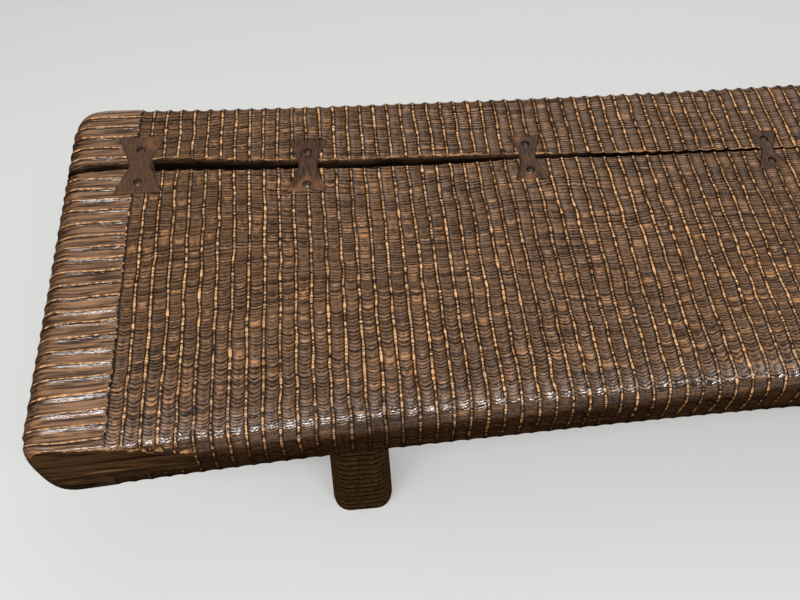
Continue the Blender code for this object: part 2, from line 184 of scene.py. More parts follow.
# Camera, as the photograph was taken
CAMERA_PLACE = (-0.60662, -0.54444, 1.15912)
CAMERA_YAW = 0.100424
CAMERA_TILT = 1.006102
CAMERA_ROLL = 0.0128064
CAMERA_LENS = 36.0            # as wide as its sensor
CAMERA_SENSOR = 36.0

FLOOR_REACH = 40.0            # from its middle to its edges
FLOOR_GLOW = 0.21             # what the floor shows beyond the light that falls on it
WORLD_LIGHT = 0.13

# Colours, single or from dark to light
STAINED_FIELD = ((0.034, 0.0180, 0.0095), (0.222, 0.119, 0.062))
STAINED_BAND = ((0.061, 0.033, 0.020), (0.345, 0.190, 0.104))
WORN_SPOT = (0.490, 0.245, 0.113)
# Painted shade in the ring creases, with dark grain
CREASE_BLACK = (0.014, 0.0076, 0.0044)
# Painted shade at the foot of each ridge, partly stain
RIDGE_FOOT_STAIN_AND_SHADE = (0.010, 0.0056, 0.0032)
BARE_RIDGE = ((0.38, 0.168, 0.060), (0.94, 0.515, 0.240))
# Painted shade: a darker copy of the bare ridge colour for the slab's sides
SHADED_BARE_SIDE = (0.42, 0.190, 0.052)
# Painted highlight on the lower lip of the shakes
SHAKE_LIP_HIGHLIGHT = (0.45, 0.26, 0.15)
SHAKE_BLACK = (0.010, 0.006, 0.004)
# Painted shade for the slab's sides and rounded ends, from dark to light
SHADED_SIDE = ((0.006, 0.0026, 0.0012), (0.038, 0.0165, 0.0075))
FACET_WOOD = ((0.014, 0.0074, 0.0036), (0.094, 0.048, 0.021))
FACET_STREAK = (0.25, 0.128, 0.054)
SPLIT_WOOD = ((0.018, 0.010, 0.006), (0.150, 0.085, 0.052))
# Painted shade deep in the check
CHECK_WALL_SHADE = (0.005, 0.0026, 0.0016)
# Rubbed broken edges, on the check's back lip also a painted highlight
BROKEN_EDGE_RUBBED_AND_LIT = ((0.22, 0.098, 0.034), (0.56, 0.31, 0.145))
# Painted shade filling the narrow part of the check
NARROW_CHECK_SHADE = (0.004, 0.0022, 0.0014)
KEY_WOOD = ((0.036, 0.0195, 0.0112), (0.106, 0.0575, 0.0345))
KEY_PALE = (0.165, 0.088, 0.050)
KEY_RED = (0.235, 0.106, 0.046)
PEG_WOOD = ((0.018, 0.010, 0.006), (0.080, 0.046, 0.028))
# Legs' teak, painted darker partly for the shade under the slab
LEG_WOOD = ((0.033, 0.0152, 0.0058), (0.075, 0.0378, 0.0149))
# Painted shade under each of the legs' ridges
LEG_RIDGE_SHADE = (0.010, 0.0046, 0.0017)
# Rubbed ridge tops of the legs, partly a painted highlight
LEG_RUBBED_AND_LIT = (0.190, 0.110, 0.055)
WEDGE_WOOD = ((0.17, 0.10, 0.05), (0.36, 0.23, 0.12))
FLOOR_PALE = ((0.61, 0.61, 0.60), (0.64, 0.64, 0.63))

SHARP = math.radians(60)      # edges that turn by more show as edges
KEY_SHARP = math.radians(50)
TINY = 1e-6


def ripple(a, b, seed):
    """Smooth unevenness between -1 and 1 over the plane of a and b."""
    a, b = np.broadcast_arrays(np.asarray(a, float), np.asarray(b, float))
    cell_a = np.floor(a)
    cell_b = np.floor(b)
    part_a = a - cell_a
    part_b = b - cell_b
    part_a = part_a * part_a * (3 - 2 * part_a)
    part_b = part_b * part_b * (3 - 2 * part_b)

    def corner(step_a, step_b):
        spread = np.sin((cell_a + step_a) * 127.1 + (cell_b + step_b) * 311.7 + seed * 74.7) * 43758.5453
        return 2 * (spread - np.floor(spread)) - 1

    near = corner(0, 0) * (1 - part_a) + corner(1, 0) * part_a
    far = corner(0, 1) * (1 - part_a) + corner(1, 1) * part_a
    return near * (1 - part_b) + far * part_b


def gouge(place):
    """Share of a flute's depth at a place between ridges, which lie at whole numbers."""
    across = place - np.floor(place)
    return (4 * across * (1 - across)) ** FLUTE_ROUNDNESS


def shingle(place):
    """Share of an end band flute's depth: a long slope from its front ridge, a steep one at the back."""
    across = place - np.floor(place)
    gentle = np.sin(math.pi / 2 * np.clip(across / BAND_LONG, 0, 1))
    steep = np.clip((1 - across) / BAND_STEEP, 0, 1)
    return gentle * steep * (1.25 - 0.25 * steep)


def slab_width(x):
    """Width of the slab at x: a shallow parabola, narrowest at mid-length."""
    reach = np.minimum(np.abs(x) / (SLAB_LENGTH / 2), 1.0)
    return WAIST_WIDTH + (END_WIDTH - WAIST_WIDTH) * reach ** 2


def points_of(bm):
    return np.array([vert.co for vert in bm.verts])


def move_points(bm, points):
    for vert, point in zip(bm.verts, points):
        vert.co = point


def fill_mesh(mesh, bm, sharp=SHARP):
    """Give a mesh the triangles of a net, smooth but for its sharp edges."""
    bmesh.ops.triangulate(bm, faces=bm.faces)
    bm.to_mesh(mesh)
    bm.free()
    mesh.shade_smooth()
    mesh.set_sharp_from_angle(angle=sharp)
    return mesh


def mesh_from(bm, name, sharp=SHARP):
    bmesh.ops.recalc_face_normals(bm, faces=bm.faces)
    return fill_mesh(bpy.data.meshes.new(name), bm, sharp)


def link_object(name, data):
    item = bpy.data.objects.new(name, data)
    bpy.context.scene.collection.objects.link(item)
    return item


def add_piece(name, mesh, finish, node):
    """A visible piece of the bench that stands for its CAD node."""
    piece = link_object(name, mesh)
    mesh.materials.clear()
    mesh.materials.append(finish)
    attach(piece, "root")
    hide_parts(node)


def cut_out(mesh, cutters):
    """A mesh with the cutters taken out of it."""
    group = bpy.data.collections.new("cutters")
    bpy.context.scene.collection.children.link(group)
    for cutter in cutters:
        group.objects.link(bpy.data.objects.new(cutter.name, cutter))
    body = link_object("body", mesh)
    modifier = body.modifiers.new("cut", 'BOOLEAN')
    modifier.operation = 'DIFFERENCE'
    modifier.solver = 'EXACT'
    modifier.operand_type = 'COLLECTION'
    modifier.collection = group
    graph = bpy.context.evaluated_depsgraph_get()
    result = bpy.data.meshes.new_from_object(body.evaluated_get(graph))
    for item in list(group.objects):
        bpy.data.objects.remove(item)
    bpy.data.collections.remove(group)
    bpy.data.objects.remove(body)
    bm = bmesh.new()
    bm.from_mesh(result)
    bmesh.ops.remove_doubles(bm, verts=bm.verts, dist=TINY)
    bmesh.ops.dissolve_degenerate(bm, edges=bm.edges, dist=TINY)
    return fill_mesh(result, bm)


def rounded_ring(bm, width, height, radius, segments, straight_cuts):
    """A rectangle in the XY plane with round corners, left as a ring of edges."""
    bmesh.ops.create_grid(bm, x_segments=1, y_segments=1, size=0.5)
    bmesh.ops.scale(bm, verts=bm.verts, vec=(width, height, 1))
    for sign, steps in zip((1, -1), segments):
        corners = [vert for vert in bm.verts if vert.co.y * sign > height / 2 - TINY]
        bmesh.ops.bevel(
            bm, geom=corners, offset=radius, offset_type='OFFSET', segments=steps, profile=0.5,
            affect='VERTICES', material=-1)
    top, side, bottom = straight_cuts
    for edge in list(bm.edges):
        run = edge.verts[1].co - edge.verts[0].co
        middle = (edge.verts[0].co + edge.verts[1].co) / 2
        if abs(run.y) < TINY and abs(middle.x) < TINY:
            cuts = top if middle.y > 0 else bottom
        elif abs(run.x) < TINY and abs(abs(middle.x) - width / 2) < TINY:
            cuts = side
        else:
            continue
        bmesh.ops.subdivide_edges(bm, edges=[edge], cuts=cuts)
    bmesh.ops.delete(bm, geom=bm.faces, context='FACES_ONLY')
    return bm.verts[:] + bm.edges[:]


def sweep_ring(bm, ring, axis, pitch, flutes):
    """Sweep a ring along an axis by whole flutes and cut each flute into its rings."""
    shift = Vector((0, 0, 0))
    shift[axis] = pitch
    bmesh.ops.spin(bm, geom=ring, axis=(0, 0, 1), dvec=shift, angle=0, steps=flutes)
    lengthwise = [
        edge for edge in bm.edges
        if abs(edge.verts[0].co[axis] - edge.verts[1].co[axis]) > pitch / 2
    ]
    bmesh.ops.subdivide_edges(bm, edges=lengthwise, cuts=len(FLUTE_RINGS) - 1, use_grid_fill=True)


def rim(bm, axis, place):
    """The open edges that lie at one place along an axis."""
    return [
        edge for edge in bm.edges
        if edge.is_boundary and all(abs(vert.co[axis] - place) < 1e-4 for vert in edge.verts)
    ]


def extrude_rim(bm, edges, shift):
    """Carry an open rim on by a shift and return the new rim with its points."""
    made = bmesh.ops.extrude_edge_only(bm, edges=edges)["geom"]
    edges = [item for item in made if isinstance(item, bmesh.types.BMEdge) and item.is_boundary]
    verts = list({vert for edge in edges for vert in edge.verts})
    bmesh.ops.translate(bm, verts=verts, vec=shift)
    return edges, verts


# Slab

def way_round(y, z):
    """Signed way round the slab's section from the middle of the top, and the outward direction there."""
    core_y = np.clip(y, -FLAT_TOP / 2, FLAT_TOP / 2)
    core_z = np.clip(z, SLAB_UNDER + EDGE_RADIUS, SLAB_TOP - EDGE_RADIUS)
    side = (y - core_y) / EDGE_RADIUS
    up = (z - core_z) / EDGE_RADIUS
    angle = np.arctan2(np.abs(side), up)
    reach = np.where(angle > math.pi - 0.01, FLAT_TOP - np.abs(core_y), np.abs(core_y))
    way = reach + EDGE_RADIUS * angle + (SLAB_TOP - EDGE_RADIUS - core_z)
    return np.where(y < 0, -way, way), side, up


def wander(x, way):
    """How far a cross ridge strays along the slab."""
    return 0.0018 * ripple(x / 0.10, way / 0.15, 1) + 0.0012 * ripple(x / 0.017, way / 0.021, 2)


def band_drift(flute, x):
    """How far a lengthwise ridge of an end band strays across the slab."""
    edge = np.clip(1 - np.abs(2 * flute / BAND_FLUTES - 1) ** 8, 0, 1)
    slow = 0.0034 * ripple(flute / 1.9, x / 0.25, 11)
    quick = 0.0016 * ripple(flute / 1.3, x / 0.026, 12)
    return edge * (slow + quick)


def corner_shift(x, y):
    """How far the rounding of the slab's corners, seen from above, moves a point of the square blank."""
    end = np.clip((np.abs(x) - SLAB_LENGTH / 2) / CORNER_RADIUS + 1, 0, 1)
    side = np.clip((np.abs(y) - END_WIDTH / 2) / CORNER_RADIUS + 1, 0, 1)
    shift_x = CORNER_RADIUS * end * (1 - np.sqrt(1 - side ** 2 / 2))
    shift_y = CORNER_RADIUS * side * (1 - np.sqrt(1 - end ** 2 / 2))
    return -np.sign(x) * shift_x, -np.sign(y) * shift_y


def slab_blank():
    """The slab as a straight blank with every ring and row of the carving, before it is shaped."""
    bm = bmesh.new()
    ring = rounded_ring(
        bm, END_WIDTH, SLAB_THICKNESS, EDGE_RADIUS, (6, 4), (BAND_FLUTES * ROWS_A_BAND_FLUTE - 1, 2, 5))
    turn = Matrix(((0, 0, 1), (1, 0, 0), (0, 1, 0)))
    bmesh.ops.rotate(bm, verts=bm.verts, cent=(0, 0, 0), matrix=turn)
    bmesh.ops.translate(bm, verts=bm.verts, vec=(-FIELD_LENGTH / 2, 0, SLAB_MIDDLE))
    sweep_ring(bm, ring, 0, FIELD_PITCH, FIELD_FLUTES)
    band = bm.verts.layers.int.new("band")
    for side in (-1, 1):
        start = side * FIELD_LENGTH / 2
        top_edges = [
            edge for edge in rim(bm, 0, start)
            if all(vert.co.z > SLAB_TOP - TINY for vert in edge.verts)
        ]
        bmesh.ops.subdivide_edges(bm, edges=top_edges, cuts=BAND_SPLIT - 1)
        edges, verts = extrude_rim(bm, rim(bm, 0, start), (0, 0, 0))
        for vert in verts:
            vert[band] = 1
        reach = 0.0
        turned = [EDGE_RADIUS * math.pi / 2 * step / END_RINGS for step in range(END_RINGS + 1)]
        for place in BAND_RINGS + tuple(BAND_STRAIGHT + way for way in turned):
            edges, verts = extrude_rim(bm, edges, (side * (place - reach), 0, 0))
            reach = place
        bmesh.ops.contextual_create(bm, geom=edges)
    return bm


def carve_slab(bm):
    """Gouge the flutes, turn the ends over, draw in the waist."""
    layer = bm.verts.layers.int["band"]
    on_band = np.array([vert[layer] for vert in bm.verts], bool)
    x, y, z = points_of(bm).T
    way, side, up = way_round(y, z)

    # Cross flutes of the field
    ring = np.rint((x + FIELD_LENGTH / 2) / FIELD_LENGTH * FIELD_FLUTES * len(FLUTE_RINGS)).astype(int)
    ring = np.clip(ring, 0, FIELD_FLUTES * len(FLUTE_RINGS))
    flute, cut = np.divmod(ring, len(FLUTE_RINGS))
    place = flute + FLUTE_RINGS[cut]
    plain_x = place * FIELD_PITCH - FIELD_LENGTH / 2
    strokes = 1 + 0.16 * ripple(flute * 3.1, way / 0.07, 3) + 0.12 * ripple(flute * 7.7, way / 0.012, 4)
    chips = 0.0010 * np.clip(ripple(plain_x / 0.05, way / 0.009, 5) - 0.2, 0, 1)
    inside = (place > 0) & (place < FIELD_FLUTES)
    worn = np.where((cut == 0) & inside, RIDGE_WEAR + chips, 0)
    turned = np.arctan2(np.abs(side), up)
    fading = np.clip((FLUTES_END - turned) / (FLUTES_END - FLUTES_FADE), 0, 1)
    depth = fading * (FLUTE_DEPTH * strokes * gouge(place) + worn)
    field_x = plain_x + wander(plain_x, way)
    field_y = y - depth * side
    field_z = z - depth * up

    # Lengthwise flutes of the end bands, which run out over the rounded ends
    reach = np.clip(np.abs(x) - FIELD_LENGTH / 2, 0, None)
    band_flute = (y + FLAT_TOP / 2) / BAND_PITCH
    on_top = z > SLAB_TOP - TINY
    stop = np.sqrt(1 - np.clip(1 - reach / BAND_STOP, 0, 1) ** 2)
    strokes = 1 + 0.35 * ripple(np.floor(band_flute) * 3.7, x / 0.045, 13)
    chips = 0.0006 * np.clip(ripple(band_flute / 0.7, x / 0.012, 14), 0, 1)
    depth = on_top * (BAND_DROP + chips + BAND_DEPTH * strokes * shingle(band_flute) * stop)
    angle = np.clip((reach - BAND_STRAIGHT) / EDGE_RADIUS, 0, math.pi / 2)
    inset = EDGE_RADIUS * (1 - np.cos(angle))
    rounded = (EDGE_RADIUS - NOSE_DEPTH * depth) * np.sin(angle)
    band_x = FIELD_LENGTH / 2 + np.minimum(reach, BAND_STRAIGHT) + rounded
    edge_x = np.sign(x) * FIELD_LENGTH / 2
    band_x = np.sign(x) * band_x + wander(edge_x, way) * np.clip(1 - reach / BAND_JOIN, 0, 1)
    band_y = y + on_top * band_drift(band_flute, x)
    band_z = SLAB_MIDDLE + (z - depth * np.cos(angle) - SLAB_MIDDLE) * (1 - inset / (SLAB_THICKNESS / 2))

    x = np.where(on_band, band_x, field_x)
    y = np.where(on_band, band_y, field_y)
    z = np.where(on_band, band_z, field_z)
    shift_x, shift_y = corner_shift(x, y)
    x, y = x + shift_x, y + shift_y
    above = np.clip((z - SLAB_UNDER) / SLAB_THICKNESS, 0, 1)
    z = z - above * TOP_UNEVEN * (1 + ripple(x / 0.31, y / 0.17, 6))
    y = y * (slab_width(x) + SIDE_UNEVEN * ripple(x / 0.23, 0.5 * np.sign(y), 7)) / END_WIDTH
    move_points(bm, np.stack((x, y, z), 1))
    bmesh.ops.remove_doubles(bm, verts=bm.verts, dist=TINY)


def check_line(along):
    """Middle and width of the check at distances from the left end."""
    path = np.array(CHECK_PATH)
    return np.interp(along, path[:, 0], path[:, 1]), np.interp(along, path[:, 0], path[:, 2])


def split_box(x_cuts, y_cuts, z_cuts):
    """A unit box from 0 to 1 with its edges cut along each axis."""
    bm = bmesh.new()
    bmesh.ops.create_cube(bm, size=1.0)
    bmesh.ops.translate(bm, verts=bm.verts, vec=(0.5, 0.5, 0.5))
    for axis, cuts in enumerate((x_cuts, y_cuts, z_cuts)):
        if cuts:
            edges = [
                edge for edge in bm.edges
                if abs(edge.verts[0].co[axis] - edge.verts[1].co[axis]) > TINY
            ]
            bmesh.ops.subdivide_edges(bm, edges=edges, cuts=cuts, use_grid_fill=True)
    return bm


def check_cutter():
    """The check: a long ragged slot that narrows downwards and runs out to nothing."""
    bm = split_box(*CHECK_CUTS)
    share_x, share_y, share_z = points_of(bm).T
    along = -CUT_MARGIN + share_x * (CHECK_PATH[-1][0] + CUT_MARGIN)
    middle, width = check_line(along)
    down = (1 - share_z) ** 1.7 * (CHECK_DEPTH + CUT_MARGIN) - CUT_MARGIN
    deep = np.clip(down / CHECK_DEPTH, 0, 1)
    narrow = 1 - 0.72 * deep ** 1.3
    lean = 0.004 * deep * (width / 0.016)
    sway = 0.0011 * ripple(along / 0.035, down / 0.03, 21) + 0.0006 * ripple(along / 0.011, 0.0, 22)
    fibres = 0.0007 * ripple(along / 0.06, down / 0.0022, 23)
    fibres = fibres + 0.0005 * ripple(along / 0.006, down / 0.006, 24)
    edge = 2 * share_y - 1
    thin = np.clip(width / 0.010, 0.05, 1)
    torn = 0.6 + 0.9 * np.clip(ripple(along / 0.014, 3 * edge, 25), -0.4, 1)
    lip = 0.0018 * np.clip(1 - down / 0.005, 0, 1.6) ** 2 * np.where(edge > 0, torn, 0.25 * torn)
    y = middle + lean + sway * thin + edge * (width / 2 * narrow + (fibres + lip) * thin)
    move_points(bm, np.stack((LEFT_END + along, y, SLAB_TOP - down), 1))
    return mesh_from(bm, "check")


def facet_cutter():
    """The facet: a wedge with a fibrous inner face that leans from the top out to the side."""
    bm = split_box(*FACET_CUTS)
    share_x, share_y, share_z = points_of(bm).T
    x = LEFT_END - CUT_MARGIN + share_x * (FACET_LENGTH + CUT_MARGIN)
    inset = FACET_END_INSET + share_x * (FACET_FAR_INSET - FACET_END_INSET)
    drop = FACET_DROP + CUT_MARGIN - share_z * (FACET_DROP + 2 * CUT_MARGIN)
    fibres = 0.0007 * ripple(x / 0.05, drop / 0.004, 31) + 0.0012 * ripple(x / 0.06, drop / 0.03, 32)
    side = -slab_width(x) / 2
    end = x + share_x ** 8 * 0.003 * ripple(drop / 0.012, 0.0, 33)
    inner = side + inset * (1 - drop / FACET_DROP) + fibres
    y = np.where(share_y < 0.5, side - EDGE_RADIUS, inner)
    move_points(bm, np.stack((end, y, SLAB_TOP - drop), 1))
    return mesh_from(bm, "facet")


def key_place(number):
    low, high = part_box(f"butterfly_key_{number}")
    return (low + high) / 2, low.z, high.z


def key_frame(number):
    """Turn and shift that set a key over the check."""
    centre = key_place(number)[0]
    lean = -math.radians(KEY_SHAPES[number - 1][3])
    return Matrix.Translation((centre.x, centre.y, 0)) @ Matrix.Rotation(lean, 4, 'Z')


def key_half_width(number, y, grow):
    length, end_width, waist_width = KEY_SHAPES[number - 1][:3]
    flare = (np.hypot(y, WAIST_ROUND) - WAIST_ROUND) / (math.hypot(length / 2, WAIST_ROUND) - WAIST_ROUND)
    return (waist_width + (end_width - waist_width) * flare) / 2 + grow


def key_solid(number, grow, low, high, across, along):
    """A bow tie from low to high as a closed net, still about the key's own middle."""
    bm = bmesh.new()
    bmesh.ops.create_grid(bm, x_segments=across, y_segments=along, size=1.0)
    x, y, z = points_of(bm).T
    y = np.sign(y) * np.abs(y) ** 0.85 * (KEY_SHAPES[number - 1][0] / 2 + grow)
    x = np.sign(x) * np.abs(x) ** 0.7 * key_half_width(number, y, grow)
    move_points(bm, np.stack((x, y, z + low), 1))
    made = bmesh.ops.extrude_face_region(bm, geom=bm.faces[:])["geom"]
    upper = [item for item in made if isinstance(item, bmesh.types.BMVert)]
    bmesh.ops.translate(bm, verts=upper, vec=(0, 0, high - low))
    return bm, upper


def pocket_cutter(number):
    """The pocket of a key, chopped a little ragged."""
    low = key_place(number)[1]
    bm = key_solid(number, POCKET_GAP, low - POCKET_GAP, SLAB_TOP + CUT_MARGIN, 8, 20)[0]
    for vert in bm.verts:
        ragged = 0.0005 * ripple(vert.co.x / 0.006, vert.co.y / 0.005, 40 + number)
        vert.co.x += np.sign(vert.co.x) * abs(ragged)
        vert.co.y += np.sign(vert.co.y) * abs(ragged)
    bmesh.ops.transform(bm, matrix=key_frame(number), verts=bm.verts)
    return mesh_from(bm, f"pocket_{number}")


def bore_cutter(node):
    """The hole of a peg, open at the top."""
    low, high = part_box(node)
    bm = bmesh.new()
    radius = (high.x - low.x) / 2 + BORE_GAP
    depth = SLAB_TOP + CUT_MARGIN - low.z + BORE_GAP
    bmesh.ops.create_cone(bm, cap_ends=True, segments=32, radius1=radius, radius2=radius, depth=depth)
    middle = ((low.x + high.x) / 2, (low.y + high.y) / 2, low.z - BORE_GAP + depth / 2)
    bmesh.ops.translate(bm, verts=bm.verts, vec=middle)
    return mesh_from(bm, f"bore_{node}")


def mortise_cutter(corner):
    """The blind hole of a leg's tenon, wider at its head."""
    low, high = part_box(f"leg_{corner}")
    radius = LEG_CORNER_RADIUS * TENON_WIDTH / leg_foot_width() + BORE_GAP
    width = TENON_WIDTH + 2 * BORE_GAP
    bm = bmesh.new()
    rounded_ring(bm, width, width, radius, (6, 6), (4, 4, 4))
    bmesh.ops.contextual_create(bm, geom=bm.edges[:])
    start = SLAB_UNDER - CUT_MARGIN
    bmesh.ops.translate(bm, verts=bm.verts, vec=(0, 0, start))
    rise = high.z + BORE_GAP - start
    edges, verts = extrude_rim(bm, bm.edges[:], (0, 0, rise))
    spread = 1 + 2 * TENON_SPREAD / TENON_WIDTH
    bmesh.ops.scale(bm, verts=verts, vec=(spread, 1, 1))
    bmesh.ops.contextual_create(bm, geom=edges)
    middle = (low + high) / 2
    bmesh.ops.translate(bm, verts=bm.verts, vec=(middle.x, middle.y, 0))
    return mesh_from(bm, f"mortise_{corner}")


def read_mesh(mesh):
    """Points of a mesh, and the point at each corner of its faces."""
    points = np.empty(len(mesh.vertices) * 3)
    mesh.vertices.foreach_get("co", points)
    corners = np.empty(len(mesh.loops), int)
    mesh.loops.foreach_get("vertex_index", corners)
    return points.reshape(-1, 3), corners


def lay_gouge_map(mesh, across, along):
    uv = mesh.uv_layers.new(name="gouge")
    uv.data.foreach_set("uv", np.stack((across, along), 1).astype(np.float32).ravel())


def facet_distance(x, y, z):
    """Distance in from the facet's inner face, measured across the slab."""
    share = np.clip((x - LEFT_END) / FACET_LENGTH, 0, 1)
    inset = FACET_END_INSET + share * (FACET_FAR_INSET - FACET_END_INSET)
    face = -slab_width(x) / 2 + inset * (1 - (SLAB_TOP - z) / FACET_DROP)
    return np.where(x < LEFT_END + FACET_LENGTH + 0.001, y - face, 1.0)


def mark_slab(mesh):
    """Lay the gouge map on the slab: way across and along the flutes, and what each face is part of."""
    points, corners = read_mesh(mesh)
    x, y, z = points.T
    square_y = y * END_WIDTH / slab_width(x)
    plain_y = square_y
    end_x = x
    for _ in range(8):
        shift_x, shift_y = corner_shift(end_x, plain_y)
        end_x, plain_y = x - shift_x, square_y - shift_y
    way = way_round(plain_y, z)[0]
    place = (x + FIELD_LENGTH / 2) / FIELD_PITCH
    for _ in range(4):
        plain_x = place * FIELD_PITCH - FIELD_LENGTH / 2
        place = (x - wander(plain_x, way) + FIELD_LENGTH / 2) / FIELD_PITCH
    band_place = (plain_y + FLAT_TOP / 2) / BAND_PITCH
    for _ in range(4):
        band_place = (plain_y - band_drift(band_place, end_x) + FLAT_TOP / 2) / BAND_PITCH

    faces = corners.reshape(-1, 3)
    middle = points[faces].mean(1)
    normal = np.empty(len(mesh.polygons) * 3)
    mesh.polygons.foreach_get("normal", normal)
    normal = normal.reshape(-1, 3)
    middle_place = place[faces].mean(1)

    band = (middle_place < 0) | (middle_place > FIELD_FLUTES)
    from_facet = np.abs(facet_distance(*middle.T))
    facet = from_facet < FACET_NEAR
    facet &= (normal[:, 1] < -0.5) & (middle[:, 2] > SLAB_TOP - FACET_DROP)
    line, width = check_line(x - LEFT_END)
    wall = (np.abs(y - line) < width / 2 + CHECK_NEAR) & (x < LEFT_END + CHECK_PATH[-1][0])
    wall &= z > SLAB_TOP - CHECK_DEPTH - 0.002
    wall = wall * np.clip((SLAB_TOP - z - 0.003) / 0.004, 0, 1)
    below = (normal[:, 2] < -0.6) & (middle[:, 2] < SLAB_UNDER + EDGE_RADIUS)
    middle_line, middle_width = check_line(middle[:, 0] - LEFT_END)
    behind = middle[:, 1] - middle_line
    check_wall = (normal[:, 2] < 0.5) & (np.abs(behind) < middle_width / 2 + CUT_MARGIN)
    check_wall &= middle[:, 0] < LEFT_END + CHECK_PATH[-1][0]
    back_wall = check_wall & (behind > 0)
    narrow = check_wall * np.clip((NARROW_CHECK - middle_width) / NARROW_EASE, 0, 1)
    on_top = np.zeros(len(points), bool)
    on_top[faces[normal[:, 2] > 0.58]] = True
    broken = np.zeros(len(points), bool)
    facet_edge = facet & (normal[:, 2] < 0.52) & (from_facet < FACET_EDGE_NEAR)
    broken[faces[facet_edge | back_wall]] = True
    lip = on_top & broken & (z > SLAB_TOP - LIP_REACH)

    band_corner = np.repeat(band, 3)
    field_place = np.clip(place[corners], 0, FIELD_FLUTES)
    lay_gouge_map(
        mesh,
        np.where(band_corner, band_place[corners], field_place),
        np.where(band_corner, x[corners], way[corners]) / FLUTE_PITCH)
    marks = np.ones((len(corners), 4))
    marks[:, 0] = band_corner
    marks[:, 1] = np.repeat(facet, 3)
    marks[:, 2] = wall[corners]
    marks[:, 3] = lip[corners]
    parts = mesh.color_attributes.new("parts", 'FLOAT_COLOR', 'CORNER')
    parts.data.foreach_set("color", marks.astype(np.float32).ravel())
    for name, values in (("underside", below), ("narrow_check", narrow)):
        mark = mesh.attributes.new(name, 'FLOAT', 'FACE')
        mark.data.foreach_set("value", values.astype(np.float32))


def make_slab(finish):
    bm = slab_blank()
    carve_slab(bm)
    cutters = [check_cutter(), facet_cutter()]
    cutters += [pocket_cutter(number) for number in range(1, len(KEY_SHAPES) + 1)]
    cutters += [bore_cutter(node) for node in sorted(frame["nodes"]) if node.startswith("peg_")]
    cutters += [mortise_cutter(corner) for corner in LEG_CORNERS]
    mesh = cut_out(mesh_from(bm, "slab"), cutters)
    mark_slab(mesh)
    add_piece("gouged_slab", mesh, finish, "slab")


# Keys and pegs

def make_key(number, finish):
    """A butterfly key with eased edges and a hand-planed top."""
    _, low, high = key_place(number)
    bm, upper = key_solid(number, 0.0, low, high, 18, 34)
    length = KEY_SHAPES[number - 1][0]
    for vert in upper:
        edge_x = float(key_half_width(number, vert.co.y, 0.0)) - abs(vert.co.x)
        edge_y = length / 2 - abs(vert.co.y)
        edge = min(edge_x, edge_y)
        eased = KEY_EASE * max(0.0, 1 - edge / KEY_EASE_REACH) ** 2
        planed = KEY_PLANED * (1 + float(ripple(vert.co.x / 0.012, vert.co.y / 0.02, 50 + number)))
        vert.co.z -= eased + planed
    bmesh.ops.transform(bm, matrix=key_frame(number), verts=bm.verts)
    pegs = [node for node in sorted(frame["nodes"]) if node.startswith(f"peg_{number}_")]
    mesh = cut_out(mesh_from(bm, "key", KEY_SHARP), [bore_cutter(node) for node in pegs])
    add_piece(f"bow_tie_key_{number}", mesh, finish, f"butterfly_key_{number}")


def make_peg(node, finish):
    """A whittled peg with a domed head, turned about its own line."""
    low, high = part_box(node)
    radius = (high.x - low.x) / 2
    centre = Vector(((low.x + high.x) / 2, (low.y + high.y) / 2, 0))
    head = high.z + PEG_CROWN
    outline = (
        (0.0, head), (0.25, head - 0.0002), (0.4, head - 0.0005), (0.8, head - 0.0015),
        (0.92, head - 0.0022), (1.0, head - 0.0034), (1.0, low.z + 0.002), (0.8, low.z), (0.0, low.z))
    bm = bmesh.new()
    verts = [bm.verts.new((share * radius, 0, z)) for share, z in outline]
    edges = [bm.edges.new(pair) for pair in zip(verts, verts[1:])]
    bmesh.ops.spin(
        bm, geom=verts + edges, cent=(0, 0, 0), axis=(0, 0, 1), angle=2 * math.pi, steps=28,
        use_merge=True)
    bmesh.ops.remove_doubles(bm, verts=bm.verts, dist=TINY)
    bmesh.ops.translate(bm, verts=bm.verts, vec=centre)
    add_piece(f"domed_{node}", mesh_from(bm, node), finish, node)


# Legs

def leg_foot_width():
    low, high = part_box("leg_front_left")
    return high.x - low.x


